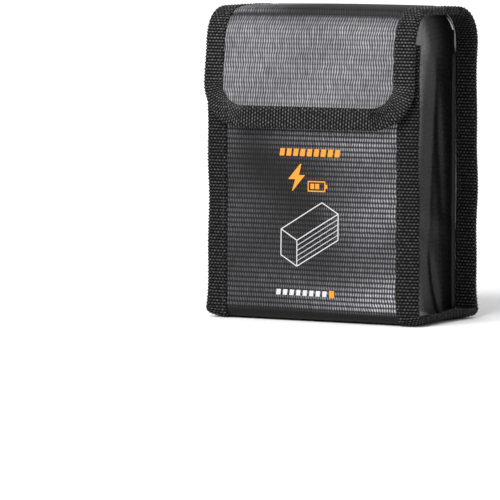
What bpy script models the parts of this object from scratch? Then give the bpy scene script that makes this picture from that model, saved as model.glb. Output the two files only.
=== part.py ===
"""Lipo safe bag: a standing fire-resistant cloth pouch with a fold-over cover.

Metres, +Z up, +X to the bag's right, the front faces -Y. The bag stands on Z = 0
and its overall box is centred on X = 0, Y = 0. Every sub-part is one closed body.

Back wall, cover and closing flap are one strip of cloth that runs up the back,
over two rounded shoulders and down the front. Each hinge is where a shoulder is
creased, half way round it.
"""
import math

import bmesh
import bpy
from mathutils import Vector

MM = 0.001

# ---- driving dimensions, millimetres --------------------------------------
WIDTH = 110.0          # across both rows of edge binding
DEPTH = 65.0           # closing flap's face to the back bindings' face
HEIGHT = 145.0         # floor to the cover's outer face
SHOULDER = 18.0        # radius of the strip's bends, on its outer face
CLOTH = 0.6            # black coated outer cloth
LINING = 0.4           # silver-white lining
TAPE = 0.6             # one leaf of binding tape
GAP = 0.3              # clearance between neighbouring layers
TAPE_SHOWS = 10.25     # how far the binding reaches in from an edge
FLAP_END = 90.0        # height of the closing flap's lower edge
FLAP_CORNER = 16.0     # radius of the flap's two lower corners
MOUTH = 129.4          # height of the front wall's top edge
LOOP_HEIGHT = 28.0     # loop strip on the front wall
HOOK_HEIGHT = 18.0     # hook strip inside the flap
HINGE_OUT = 0.5        # hinge lines stand off the strip's outer face
TUCK_HINGE_Z = 132.8
TUCK_LENGTH = 43.5     # tuck flap, root to tip
TUCK_SLOPE = 4.0       # degrees a closed tuck flap dips into the bag
TUCK_BACK_ROOT = 21.0  # Y of the tuck flap's back edge at its root
TUCK_BACK_TIP = 13.0   # and at its tip
DIVIDER = 0.6          # divider cloth
DIVIDER_TOP = 122.0
BEND_STEPS = 8         # facets in half a shoulder

# ---- levels that follow from them ------------------------------------------
STACK = TAPE + GAP + CLOTH + GAP + LINING + GAP + TAPE   # a bound edge
HALF_W = WIDTH / 2.0
FLAP_OUT = -DEPTH / 2.0
FRONT = FLAP_OUT + STACK + GAP              # front bindings' outer face
BACK = DEPTH / 2.0                          # back bindings' outer face
EDGE_IN = HALF_W - TAPE_SHOWS               # inner edge of the bindings
CLOTH_X = HALF_W - TAPE - GAP               # edge of the cloth in its binding
GUSSET_OUT = EDGE_IN - 0.4
SAG = TAPE + GAP                            # bottom cloth sags between bindings
ROOM = STACK + GAP                          # above the bottom binding
TUCK_HINGE_X = GUSSET_OUT + 0.3
GUSSET_TOP = TUCK_HINGE_Z - 0.2

# ---- the strip: length along its outer face, from the back wall's foot ------
BEND_Z = HEIGHT - SHOULDER
QUARTER = SHOULDER * math.pi / 2.0
S_BACK = BEND_Z - ROOM                      # back shoulder begins
S_TOP = S_BACK + QUARTER                    # flat top begins
S_FRONT = S_TOP + DEPTH - 2.0 * SHOULDER    # front shoulder begins
S_FLAP = S_FRONT + QUARTER                  # flap hangs straight from here
S_END = S_FLAP + BEND_Z - FLAP_END
S_COVER_HINGE = S_BACK + QUARTER / 2.0
S_FLAP_HINGE = S_FRONT + QUARTER / 2.0

# layers of the strip, measured inwards from the bindings' outer face
N_CLOTH = TAPE + GAP
N_LINING = N_CLOTH + CLOTH + GAP

# ---- materials: name -> (sRGB colour, roughness) ---------------------------
MATERIALS = {
    "coated_cloth": ((0.16, 0.16, 0.18), 0.42),
    "gusset_cloth": ((0.11, 0.11, 0.12), 0.34),
    "lining": ((0.86, 0.86, 0.84), 0.55),
    "binding_tape": ((0.13, 0.13, 0.13), 0.75),
    "loop_tape": ((0.06, 0.06, 0.06), 0.95),
    "hook_tape": ((0.05, 0.05, 0.05), 0.85),
    "divider_cloth": ((0.82, 0.82, 0.80), 0.6),
}


def clear_scene():
    for ob in list(bpy.data.objects):
        bpy.data.objects.remove(ob, do_unlink=True)


def to_linear(value):
    if value <= 0.04045:
        return value / 12.92
    return ((value + 0.055) / 1.055) ** 2.4


def material(node, kind):
    """One Principled material for one sub-part."""
    rgb, rough = MATERIALS[kind]
    mat = bpy.data.materials.new(node)
    mat.use_nodes = True
    shader = mat.node_tree.nodes["Principled BSDF"]
    colour = [to_linear(v) for v in rgb] + [1.0]
    shader.inputs["Base Color"].default_value = colour
    shader.inputs["Roughness"].default_value = rough
    mat.diffuse_color = colour
    return mat


def add_object(name, kind, verts, faces, origin=(0.0, 0.0, 0.0)):
    """Closed object from millimetre points; its origin is moved to `origin`."""
    mesh = bpy.data.meshes.new(name)
    base = Vector(origin)
    mesh.from_pydata([(Vector(v) - base) * MM for v in verts], [], faces)
    bm = bmesh.new()
    bm.from_mesh(mesh)
    bmesh.ops.recalc_face_normals(bm, faces=bm.faces)
    bm.to_mesh(mesh)
    bm.free()
    ob = bpy.data.objects.new(name, mesh)
    ob.location = base * MM
    mesh.materials.append(material(name, kind))
    bpy.context.collection.objects.link(ob)
    return ob


def prism(outline, axis, low, high):
    """Closed prism: a 2-D outline carried along one axis from low to high."""
    order = {"x": (2, 0, 1), "y": (0, 2, 1), "z": (0, 1, 2)}[axis]
    verts = []
    for level in (low, high):
        for a, b in outline:
            flat = (a, b, level)
            verts.append(tuple(flat[i] for i in order))
    n = len(outline)
    faces = [tuple(range(n))[::-1], tuple(range(n, 2 * n))]
    for i in range(n):
        j = (i + 1) % n
        faces.append((i, j, n + j, n + i))
    return verts, faces


def slab(name, kind, x, y, z, origin=(0.0, 0.0, 0.0)):
    """Plain rectangular slab between the given limits."""
    outline = [(x[0], y[0]), (x[1], y[0]), (x[1], y[1]), (x[0], y[1])]
    verts, faces = prism(outline, "z", z[0], z[1])
    return add_object(name, kind, verts, faces, origin)


def strip(s, n=0.0):
    """(Y, Z) of the strip at length s, n inside its outer face."""
    if s <= S_BACK:
        return (BACK - n, ROOM + s)
    if s <= S_TOP:
        a = (s - S_BACK) / SHOULDER
        r = SHOULDER - n
        return (BACK - SHOULDER + r * math.cos(a), BEND_Z + r * math.sin(a))
    if s <= S_FRONT:
        return (BACK - SHOULDER - (s - S_TOP), HEIGHT - n)
    if s <= S_FLAP:
        a = (s - S_FRONT) / SHOULDER
        r = SHOULDER - n
        return (FLAP_OUT + SHOULDER - r * math.sin(a), BEND_Z + r * math.cos(a))
    return (FLAP_OUT + n, BEND_Z - (s - S_FLAP))


def stations(start, end):
    """Lengths along the strip where a facet begins, close together in a bend."""
    marks = [start, end]
    for low, high, steps in ((S_BACK, S_TOP, 2 * BEND_STEPS),
                             (S_FRONT, S_FLAP, 2 * BEND_STEPS)):
        marks += [low + (high - low) * i / steps for i in range(steps + 1)]
    inside = sorted(m for m in marks if start - 1e-6 <= m <= end + 1e-6)
    kept = [inside[0]]
    for m in inside[1:]:
        if m - kept[-1] > 0.4:
            kept.append(m)
    kept[-1] = end
    return kept


def loft(rings):
    """Closed body through rings of equal length, with both ends capped."""
    n = len(rings[0])
    verts = [p for ring in rings for p in ring]
    faces = []
    for k in range(len(rings) - 1):
        for i in range(n):
            j = (i + 1) % n
            a, b = k * n, (k + 1) * n
            faces.append((a + i, a + j, b + j, b + i))
    faces.append(tuple(reversed(range(n))))
    faces.append(tuple(range((len(rings) - 1) * n, len(rings) * n)))
    return verts, faces


def strip_sheet(name, kind, rows, n0, n1, origin=(0.0, 0.0, 0.0)):
    """A sheet that follows the strip; rows are (length, half width)."""
    rings = []
    for s, half in rows:
        y0, z0 = strip(s, n0)
        y1, z1 = strip(s, n1)
        rings.append([(-half, y0, z0), (half, y0, z0),
                      (half, y1, z1), (-half, y1, z1)])
    verts, faces = loft(rings)
    return add_object(name, kind, verts, faces, origin)


def u_section(side):
    """(X, depth) points of a folded tape that clasps an edge at X = side."""
    out, wall, inn = side * HALF_W, side * (HALF_W - TAPE), side * EDGE_IN
    return [(inn, 0.0), (out, 0.0), (out, STACK), (inn, STACK),
            (inn, STACK - TAPE), (wall, STACK - TAPE),
            (wall, TAPE), (inn, TAPE)]


def strip_binding(name, side, start, end, origin=(0.0, 0.0, 0.0)):
    """Folded tape along one edge of the strip."""
    rings = []
    for s in stations(start, end):
        ring = []
        for x, n in u_section(side):
            y, z = strip(s, n)
            ring.append((x, y, z))
        rings.append(ring)
    verts, faces = loft(rings)
    return add_object(name, "binding_tape", verts, faces, origin)


def sagging(level, thick):
    """Cross-section of cloth that lies on the floor between raised edges."""
    low = [(-CLOTH_X, level + SAG), (-EDGE_IN, level + SAG),
           (-EDGE_IN + 2.5, level), (EDGE_IN - 2.5, level),
           (EDGE_IN, level + SAG), (CLOTH_X, level + SAG)]
    high = [(a, b + thick) for a, b in reversed(low)]
    return low + high


def front_wall(name, kind, y, top, inset=0.0):
    """Full width above the bottom binding, and a narrower part that reaches
    down between the bindings to the bottom cloth."""
    wide = CLOTH_X - inset
    narrow = EDGE_IN - 2.5 - GAP - inset
    low = CLOTH + GAP
    outline = [(-wide, ROOM), (-narrow, ROOM), (-narrow, low), (narrow, low),
               (narrow, ROOM), (wide, ROOM), (wide, top), (-wide, top)]
    verts, faces = prism(outline, "y", y[0], y[1])
    add_object(name, kind, verts, faces)


def back_rows(inset, end):
    """The back wall's widths: narrow between the bottom bindings, then full."""
    wide = CLOTH_X - inset
    narrow = EDGE_IN - 2.5 - GAP - inset
    rows = [(CLOTH + GAP - ROOM, narrow), (-GAP, narrow)]
    return rows + [(s, wide) for s in stations(0.0, end)]


def build_bag():
    """The standing body: walls, bottom, linings, divider and bindings."""
    panel_f = FRONT + N_CLOTH
    lining_f = FRONT + N_LINING
    inner_f = lining_f + LINING
    inner_b = BACK - N_LINING - LINING
    foot = CLOTH + GAP + LINING + GAP             # above the bottom lining
    seam = S_COVER_HINGE - GAP / 2.0

    front_wall("front_panel", "coated_cloth", (panel_f, panel_f + CLOTH), MOUTH)
    front_wall("front_lining", "lining", (lining_f, inner_f), MOUTH - 0.6, 0.2)
    strip_sheet("back_panel", "coated_cloth", back_rows(0.0, seam),
                N_CLOTH, N_CLOTH + CLOTH)
    strip_sheet("back_lining", "lining", back_rows(0.2, seam),
                N_LINING, N_LINING + LINING)

    verts, faces = prism(sagging(0.0, CLOTH), "y", FRONT, BACK)
    add_object("bottom_panel", "coated_cloth", verts, faces)
    verts, faces = prism(sagging(CLOTH + GAP, LINING), "y",
                         inner_f + GAP, inner_b - GAP)
    add_object("bottom_lining", "lining", verts, faces)

    # gusset outline (Y, Z): its back edge follows the back shoulder
    tape_f = FRONT + STACK + GAP
    edge_b = []
    for z in (ROOM, BEND_Z, (BEND_Z + GUSSET_TOP) / 2.0, GUSSET_TOP):
        rise = max(z - BEND_Z, 0.0)
        reach = math.sqrt((SHOULDER - STACK - GAP) ** 2 - rise ** 2)
        edge_b.append((BACK - SHOULDER + reach, z))
    outline = [(tape_f, ROOM)] + edge_b + [(tape_f, GUSSET_TOP)]
    short = [(y, min(z, GUSSET_TOP - 0.4)) for y, z in outline]

    for side, name in ((-1.0, "left"), (1.0, "right")):
        face = sorted((side * GUSSET_OUT, side * (GUSSET_OUT - CLOTH)))
        verts, faces = prism(outline, "x", face[0], face[1])
        add_object(name + "_gusset", "gusset_cloth", verts, faces)
        outer = GUSSET_OUT - CLOTH - GAP
        face = sorted((side * outer, side * (outer - LINING)))
        verts, faces = prism(short, "x", face[0], face[1])
        add_object(name + "_lining", "lining", verts, faces)

        u = [(x, FRONT + n) for x, n in u_section(side)]
        verts, faces = prism(u, "z", ROOM, MOUTH)
        add_object("front_" + name + "_binding", "binding_tape", verts, faces)
        strip_binding("back_" + name + "_binding", side, 0.0, seam)
        u = u_section(side)
        verts, faces = prism(u, "y", FRONT, BACK)
        add_object("bottom_" + name + "_binding", "binding_tape", verts, faces)

    half = DIVIDER / 2.0
    slab("divider", "divider_cloth", (-half, half),
         (inner_f + GAP, inner_b - GAP), (foot, DIVIDER_TOP))
    slab("loop_strip", "loop_tape", (-EDGE_IN + 0.5, EDGE_IN - 0.5),
         (FRONT, panel_f - GAP), (MOUTH - 1.0 - LOOP_HEIGHT, MOUTH - 1.0))


def hinge_point(s):
    y, z = strip(s, -HINGE_OUT)
    return (0.0, y, z)


def build_cover():
    """The cover: half of each shoulder and the flat top between them."""
    hinge = hinge_point(S_COVER_HINGE)
    start = S_COVER_HINGE + GAP / 2.0
    end = S_FLAP_HINGE - GAP / 2.0
    rows = [(s, CLOTH_X) for s in stations(start, end)]
    strip_sheet("cover_panel", "coated_cloth", rows,
                N_CLOTH, N_CLOTH + CLOTH, hinge)
    rows = [(s, CLOTH_X - 0.2) for s in stations(start, end)]
    strip_sheet("cover_lining", "lining", rows,
                N_LINING, N_LINING + LINING, hinge)
    for side, name in ((-1.0, "left"), (1.0, "right")):
        strip_binding("cover_" + name + "_binding", side, start, end, hinge)


def flap_edge(inset, steps=10):
    """The flap's right edge as (X, length): its side, corner and lower end."""
    half = HALF_W - inset
    end = S_END - inset
    radius = FLAP_CORNER - inset
    pts = [(half, s) for s in stations(S_FLAP_HINGE + GAP / 2.0, S_FLAP)]
    for i in range(steps + 1):
        a = math.radians(90.0 * i / steps)
        pts.append((half - radius + radius * math.cos(a),
                    end - radius + radius * math.sin(a)))
    return pts


def build_flap():
    """The closing flap: cloth, lining, hook strip and its binding."""
    hinge = hinge_point(S_FLAP_HINGE)
    rows = [(s, x) for x, s in flap_edge(N_CLOTH)]
    strip_sheet("flap_panel", "coated_cloth", rows,
                N_CLOTH, N_CLOTH + CLOTH, hinge)
    rows = [(s, x) for x, s in flap_edge(N_CLOTH + 0.2)]
    strip_sheet("flap_lining", "lining", rows,
                N_LINING, N_LINING + LINING, hinge)

    # binding: the folded tape follows both sides and the rounded lower edge
    def whole(inset):
        right = flap_edge(inset)
        return right + [(-x, s) for x, s in reversed(right)]

    outer, wall, inner = whole(0.0), whole(TAPE), whole(TAPE_SHOWS)
    ring = [(inner, 0.0), (outer, 0.0), (outer, STACK), (inner, STACK),
            (inner, STACK - TAPE), (wall, STACK - TAPE),
            (wall, TAPE), (inner, TAPE)]
    rings = []
    for i in range(len(outer)):
        section = []
        for line, n in ring:
            x, s = line[i]
            y, z = strip(s, n)
            section.append((x, y, z))
        rings.append(section)
    verts, faces = loft(rings)
    add_object("flap_binding", "binding_tape", verts, faces, hinge)

    low = FLAP_END + TAPE_SHOWS + 1.0
    inside = FLAP_OUT + STACK
    slab("hook_strip", "hook_tape", (-EDGE_IN + 5.0, EDGE_IN - 5.0),
         (inside - TAPE, inside), (low, low + HOOK_HEIGHT), hinge)


def build_tuck(side, name):
    """A tuck flap that folds in under the cover from the top of a gusset."""
    hinge = (side * TUCK_HINGE_X, 0.0, TUCK_HINGE_Z)
    turn = math.radians(-TUCK_SLOPE)
    front = FRONT + STACK + 0.6
    start, tip = 0.8, TUCK_LENGTH

    def place(s, y, h):
        """s runs from the hinge towards the bag's middle, h is upwards."""
        x = s * math.cos(turn) - h * math.sin(turn)
        z = s * math.sin(turn) + h * math.cos(turn)
        return (hinge[0] - side * x, y, hinge[2] + z)

    def back_y(s, inset):
        t = (s - start) / (tip - start)
        return TUCK_BACK_ROOT + (TUCK_BACK_TIP - TUCK_BACK_ROOT) * t - inset

    def edge(inset):
        return [(start, front + inset), (tip - inset, front + inset),
                (tip - inset, back_y(tip - inset, inset)),
                (start, back_y(start, inset))]

    def layer(node, kind, inset, h0, h1):
        low = [place(s, y, h0) for s, y in edge(inset)]
        high = [place(s, y, h1) for s, y in edge(inset)]
        verts, faces = loft([low, high])
        add_object(node, kind, verts, faces, hinge)

    top = GAP + STACK
    layer(name + "_tuck_panel", "gusset_cloth", N_CLOTH,
          top - N_CLOTH - CLOTH, top - N_CLOTH)
    layer(name + "_tuck_lining", "lining", N_CLOTH + 0.2,
          GAP + TAPE + GAP, GAP + TAPE + GAP + LINING)

    outer, wall, inner = edge(0.0), edge(TAPE), edge(TAPE_SHOWS - 1.5)
    ring = [(inner, GAP), (outer, GAP), (outer, top), (inner, top),
            (inner, top - TAPE), (wall, top - TAPE),
            (wall, GAP + TAPE), (inner, GAP + TAPE)]
    rings = []
    for i in range(4):
        rings.append([place(line[i][0], line[i][1], h) for line, h in ring])
    verts, faces = loft(rings)
    add_object(name + "_tuck_binding", "binding_tape", verts, faces, hinge)


def main():
    clear_scene()
    build_bag()
    build_cover()
    build_flap()
    build_tuck(-1.0, "left")
    build_tuck(1.0, "right")


main()
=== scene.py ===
"""Looks of a lipo safe bag: coated cloth, silver lining, woven binding tape, closures and print.

Every shape is a surface worked out with numpy, in millimetres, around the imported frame.
The outer cloth and its tape are one strip that starts at the front wall's top edge, runs
down the front, under the bottom, up the back, over the cover and down the closing flap.
A place on it is (x, s, depth): across, along and inwards from the tape's outer face.
"""
import math

import bpy
import numpy as np
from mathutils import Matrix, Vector


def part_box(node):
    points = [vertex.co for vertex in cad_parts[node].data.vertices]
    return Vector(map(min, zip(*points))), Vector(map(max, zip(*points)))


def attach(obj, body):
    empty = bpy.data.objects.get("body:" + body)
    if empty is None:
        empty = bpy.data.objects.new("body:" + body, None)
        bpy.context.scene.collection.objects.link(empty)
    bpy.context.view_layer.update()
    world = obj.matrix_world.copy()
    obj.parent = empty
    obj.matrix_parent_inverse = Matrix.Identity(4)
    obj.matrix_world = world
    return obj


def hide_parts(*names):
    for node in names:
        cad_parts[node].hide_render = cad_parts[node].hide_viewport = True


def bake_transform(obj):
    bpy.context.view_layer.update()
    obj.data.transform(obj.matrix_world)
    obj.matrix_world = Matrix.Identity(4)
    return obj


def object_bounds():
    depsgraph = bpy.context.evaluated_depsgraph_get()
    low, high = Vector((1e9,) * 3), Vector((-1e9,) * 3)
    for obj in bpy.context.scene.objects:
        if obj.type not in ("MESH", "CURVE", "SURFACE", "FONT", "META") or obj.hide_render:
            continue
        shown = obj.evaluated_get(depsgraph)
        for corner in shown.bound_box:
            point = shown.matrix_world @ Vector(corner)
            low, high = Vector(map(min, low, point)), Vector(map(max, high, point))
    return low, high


bl_info = {
    "name": "Lipo safe bag looks",
    "version": (1, 0, 0),
    "blender": (4, 5, 0),
    "location": "View3D > Sidebar > Safe bag",
    "description": "Builds the cloth, tape, lining and print of a lipo safe bag on its frame",
    "category": "Add Mesh",
}

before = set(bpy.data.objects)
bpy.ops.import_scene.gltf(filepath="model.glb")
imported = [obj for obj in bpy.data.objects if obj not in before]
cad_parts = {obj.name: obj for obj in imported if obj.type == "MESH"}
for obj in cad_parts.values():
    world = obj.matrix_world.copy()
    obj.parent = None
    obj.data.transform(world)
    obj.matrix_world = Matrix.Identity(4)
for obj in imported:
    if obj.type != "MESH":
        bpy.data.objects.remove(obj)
CAD_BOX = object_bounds()
MM = 0.001
MATERIALS = {}


def corner(name, end):
    """A corner of a frame node's box in millimetres: end 0 is the lowest, 1 the highest."""
    return np.array(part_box(name)[end]) / MM


# ---- sizes in millimetres, read from the frame ------------------------------
HALF_W = CAD_BOX[1].x / MM
FLAP_FACE = CAD_BOX[0].y / MM
BACK = CAD_BOX[1].y / MM
TOP = CAD_BOX[1].z / MM
FRONT = corner("front_left_binding", 0)[1]
MOUTH = corner("front_left_binding", 1)[2]
FLAP_END = corner("flap_binding", 0)[2]
EDGE_IN = corner("front_right_binding", 0)[0]
GUSSET_X = corner("right_gusset", 1)[0]
GUSSET_FRONT = corner("right_gusset", 0)[1]
GUSSET_BACK = corner("right_gusset", 1)[1]
GUSSET_FOOT = corner("right_gusset", 0)[2]

# ---- sizes that the frame doesn't hold as a box ------------------------------
SHOULDER = 18.0        # radius of the cover's two bends
FOOT_BEND = 5.0        # radius of the strip's bends at the bottom
FLAP_CORNER = 21.0     # radius of the closing flap's lower corners
GAP = 0.3              # between neighbouring layers
STACK = 3.1            # a bound edge is this thick
CLOTH_DEPTH = 0.9      # tape's outer face to the cloth's
CLOTH = 0.6            # outer cloth
LINING_DEPTH = 1.8     # tape's outer face to the lining's
LINING = 0.4           # silver lining
CLOTH_HALF = HALF_W - CLOTH_DEPTH
LINING_HALF = CLOTH_HALF - 0.2
FREE_HALF = 34.0       # columns further out draw in at the flap's round corners
SWELL_HALF = 53.0      # the filled walls' swelling ends here
STITCH_SINK = 0.02     # stitches stand this far off the tape's face
STITCH_IN = 1.5        # and this far from the tape's inner edge
TUCK_SLOPE = math.radians(4.0)
TUCK_LENGTH = 43.5
TUCK_ROOT = 0.8        # start of the tuck flap, from its hinge
TUCK_HINGE = (GUSSET_X + GAP, 132.8)
TUCK_BACK = (21.0, 13.0)
TUCK_TAPE = 8.75       # width of the tuck flap's tape
GUSSET_WEAVE = (54.5, 178.0)  # the weave's extent over a gusset and its tuck flap
PER_RIB = 4            # columns of points on each rib
ARCH_Z = TOP - SHOULDER
QUARTER = math.pi / 2.0

# runs of the strip from the front wall's top edge: (length, bend radius or 0)
RUNS = [
    (MOUTH - FOOT_BEND, 0.0),
    (FOOT_BEND * QUARTER, FOOT_BEND),
    (BACK - FRONT - 2.0 * FOOT_BEND, 0.0),
    (FOOT_BEND * QUARTER, FOOT_BEND),
    (ARCH_Z - FOOT_BEND, 0.0),
    (SHOULDER * QUARTER, SHOULDER),
    (BACK - FLAP_FACE - 2.0 * SHOULDER, 0.0),
    (SHOULDER * QUARTER, SHOULDER),
    (ARCH_Z - FLAP_END, 0.0),
]
MARKS = np.cumsum([0.0] + [length for length, radius in RUNS])
S_FOOT, S_SOLE, S_HEEL, S_BACK, S_ARCH, S_TOP, S_FALL, S_HANG, S_END = MARKS[1:]
S_MID_SOLE = (S_SOLE + S_HEEL) / 2.0
S_MID_TOP = (S_TOP + S_FALL) / 2.0
S_CREASE = S_FALL + SHOULDER * math.radians(32.0)


# ---- colour and small maths ---------------------------------------------------
def linear(hex_colour):
    """sRGB hex to a linear RGBA colour."""
    parts = [int(hex_colour[i:i + 2], 16) / 255.0 for i in (1, 3, 5)]
    return [v / 12.92 if v <= 0.04045 else ((v + 0.055) / 1.055) ** 2.4 for v in parts] + [1.0]


def smooth(t):
    """0 before 0, 1 after 1, and an even slope change between."""
    t = np.clip(t, 0.0, 1.0)
    return t * t * (3.0 - 2.0 * t)


def bump(t):
    """A bell of height 1 at 0, gone at about 2."""
    return np.exp(-np.square(t))


def scatter(a, b, seed):
    """Even pseudo-random numbers from 0 to 1, one for each pair of whole numbers."""
    v = np.sin(a * 12.9898 + b * 78.233 + seed * 37.719) * 43758.5453
    return v - np.floor(v)


# ---- the strip ------------------------------------------------------------------
def strip_line(s):
    """Y, Z and heading at length s: the runs are added one after another, each straight
    or an arc that turns to the left, and s takes as much of each run as it reaches."""
    y = np.full(s.shape, FRONT)
    z = np.full(s.shape, MOUTH)
    heading = np.full(s.shape, -QUARTER)
    for (length, radius), begin in zip(RUNS, MARKS):
        step = np.clip(s - begin, 0.0, length)
        if radius:
            turned = heading + step / radius
            y = y + radius * (np.sin(turned) - np.sin(heading))
            z = z + radius * (np.cos(heading) - np.cos(turned))
            heading = turned
        else:
            y = y + step * np.cos(heading)
            z = z + step * np.sin(heading)
    return y, z, heading


def belly(x, z):
    """How far the filled front stands out. It leans back towards the top, more and from lower
    down on the right, and a slanting hollow runs from the upper left to the lower middle."""
    across = np.clip(1.0 - np.square(x / SWELL_HALF), 0.0, 1.0) ** 0.7
    up = np.clip(z / MOUTH, 0.0, 1.0)
    right = smooth((x + 22.0) / 60.0)
    full = (1.5 + 3.0 * right) * np.sin(math.pi * up ** (0.5 - 0.2 * right)) * across
    slant = (z - 58.0) + 0.75 * (x + 14.0)
    hollow = 0.8 * np.tanh(slant / 13.0) * bump((x + 14.0) / 30.0) * bump((z - 66.0) / 44.0)
    small = 0.2 * np.sin(z / 6.5 + 0.9 * np.sin(x / 13.0)) * bump((x - 24.0) / 22.0)
    small = small + 0.14 * np.sin(z / 5.1 - x / 9.0) * bump((x + 32.0) / 18.0)
    return full + (hollow + small) * across * smooth(up * 6.0)


def swell(x, s):
    """Outward rise of the strip at (x, s), in millimetres."""
    inside = np.clip(1.0 - np.square(x / SWELL_HALF), 0.0, 1.0)
    y, z, heading = strip_line(s)
    front = np.where(s < S_FOOT, belly(x, z) * smooth(z / 14.0), 0.0)
    sole = np.where((s > S_SOLE) & (s < S_HEEL), 0.85 * smooth((44.0 - np.abs(x)) / 4.0), 0.0)
    sole = sole * smooth((s - S_SOLE) / 5.0) * smooth((S_HEEL - s) / 5.0)
    back = 1.6 * inside * np.sin(math.pi * np.clip((s - S_BACK) / (S_ARCH - S_BACK), 0.0, 1.0)) ** 0.8
    back = back + 0.35 * inside * np.sin(x / 9.0 + z / 17.0) * bump((s - S_BACK - 60.0) / 45.0)
    crown = 0.9 + 0.5 * inside + 0.9 * smooth((46.0 - np.abs(x)) / 6.0)
    crown = crown * smooth((s - S_ARCH) / 20.0) * smooth((S_HANG - s) / 22.0)
    crease = -1.3 * bump((s - S_CREASE) / 1.0) + 0.5 * bump((s - S_CREASE + 3.0) / 2.0)
    crease = crease * smooth((46.0 - np.abs(x)) / 3.0)
    drop = np.clip(ARCH_Z - z, 0.0, 60.0)
    flap = np.where(s > S_FALL, 0.075 * drop + belly(x, z) * smooth(drop / 12.0), 0.0)
    ripple = 0.22 * np.sin(x / 8.5 + 1.3 * np.sin(z / 9.0)) * smooth(drop / 15.0)
    flap = flap + np.where(s > S_FALL, ripple, 0.0)
    return front + sole + back + crown + crease + flap


def spread(x, s):
    """Sideways flare of the bound edges: out at the bottom corners, with a slow wander."""
    edge = smooth((np.abs(x) - 38.0) / 17.0) * np.sign(x)
    y, z, heading = strip_line(s)
    low = 1.1 * bump(z / 9.0)
    wander = 0.28 * np.sin(s / 13.0 + np.sign(x)) + 0.2 * np.sin(s / 5.7 + 2.0 * np.sign(x))
    body = np.where(s < S_TOP, 0.5, 0.0)
    return edge * (low + wander + body)


def on_strip(x, s, depth):
    """The point at (x, s, depth): the strip's line, moved along its normal by the swell
    less the depth. The bottom's bound edges curl up from the floor."""
    y, z, heading = strip_line(s)
    out = swell(x, s) - depth
    sole = (s > S_FOOT) & (s < S_BACK)
    curl = np.where(sole, np.square(np.clip((np.abs(x) - 45.0) / 10.0, 0.0, 1.2)), 0.0)
    span = np.sin(math.pi * np.clip((s - S_FOOT) / (S_BACK - S_FOOT), 0.0, 1.0))
    curl = curl * (3.2 * np.sqrt(span) + 0.7 * span * np.sin(s / 5.0))
    return np.stack([x + spread(x, s), y + out * np.sin(heading),
                     z - out * np.cos(heading) + curl], axis=-1)


# ---- the tuck flaps ---------------------------------------------------------------
def on_tuck(side):
    """A place function for a closed tuck flap: t inwards from its hinge, y, and height."""
    def place(y, t, height):
        x = t * math.cos(TUCK_SLOPE) + height * math.sin(TUCK_SLOPE)
        z = height * math.cos(TUCK_SLOPE) - t * math.sin(TUCK_SLOPE)
        return np.stack([side * (TUCK_HINGE[0] - x), y, TUCK_HINGE[1] + z], axis=-1)
    return place


def tuck_back(t):
    """Y of the tuck flap's slanting back edge at distance t from the hinge."""
    share = (t - TUCK_ROOT) / (TUCK_LENGTH - TUCK_ROOT)
    return TUCK_BACK[0] + (TUCK_BACK[1] - TUCK_BACK[0]) * share


# ---- meshes -------------------------------------------------------------------------
def tube(count, size):
    """Quads round a tube of count rings with size points each."""
    index = np.arange(count * size).reshape(count, size)
    ahead = np.roll(index, -1, axis=1)
    return np.stack([index[:-1], ahead[:-1], ahead[1:], index[1:]], axis=-1).reshape(-1, 4)


def closed_loft(rings):
    """Faces of a body through rings (stations, points): quads between neighbouring rings,
    and a cap at each end that joins point i to the point opposite it in the ring."""
    count, size = rings.shape[:2]
    faces = [tube(count, size)]
    for first, turn in ((0, 1), ((count - 1) * size, -1)):
        ring = np.arange(first, first + size)
        near, far = ring[:size // 2], ring[::-1][:size // 2]
        faces.append(np.stack([near[:-1], far[:-1], far[1:], near[1:]], axis=-1)[:, ::turn])
    return np.concatenate(faces)


def inside_out(points, faces):
    """Whether the faces' signed volume is negative."""
    a, b, c, d = (points[faces[:, i]] for i in range(4))
    return (np.einsum("ij,ij->i", a, np.cross(b, c)) + np.einsum("ij,ij->i", a, np.cross(c, d))).sum() < 0.0


def make_piece(name, points, faces, material, weave=None, crease=50.0, caps=()):
    """A smooth mesh object from millimetre points, turned the right way out. weave holds
    across, along and crest for each point, and the materials read it. caps are polygons
    that close the ends, where quads don't."""
    points = np.asarray(points, float).reshape(-1, 3)
    polygons = faces.tolist() + list(caps)
    if inside_out(points, faces):
        polygons = [polygon[::-1] for polygon in polygons]
    mesh = bpy.data.meshes.new(name)
    mesh.from_pydata((points * MM).tolist(), [], polygons)
    if weave is not None:
        layer = mesh.attributes.new("weave", "FLOAT_VECTOR", "POINT")
        layer.data.foreach_set("vector", np.asarray(weave, np.float32).ravel())
    mesh.materials.append(material)
    mesh.shade_smooth()
    mesh.set_sharp_from_angle(angle=math.radians(crease))
    piece = bpy.data.objects.new(name, mesh)
    bpy.context.scene.collection.objects.link(piece)
    return piece


def sheet_rings(place, across, along, outer, inner):
    """Rings of a sheet: the outer face out and the inner face back, at each station."""
    top = place(across, along, outer)
    low = place(across, along, inner)
    return np.concatenate([top, low[:, ::-1]], axis=1)


def sheet_weave(across, along, crest):
    """The weave values for the same rings: both faces carry the outer face's pattern."""
    values = np.stack([across, along, crest + 0.0 * across], axis=-1)
    return np.concatenate([values, values[:, ::-1]], axis=1)


def strip_half(s, half):
    """Half width of the strip at s: full, and rounded at the closing flap's corners."""
    inset = HALF_W - half
    radius = FLAP_CORNER - inset
    past = np.clip(s - (S_END - inset - radius), 0.0, radius)
    return half - radius + np.sqrt(np.maximum(radius * radius - past * past, 0.0))


def draw_in(x, s, half):
    """x, with the columns past FREE_HALF drawn in evenly to the strip's rounded edge."""
    drawn = FREE_HALF + (np.abs(x) - FREE_HALF) * (strip_half(s, half) - FREE_HALF) / (half - FREE_HALF)
    return np.where(np.abs(x) > FREE_HALF, np.sign(x) * drawn, x)


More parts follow.
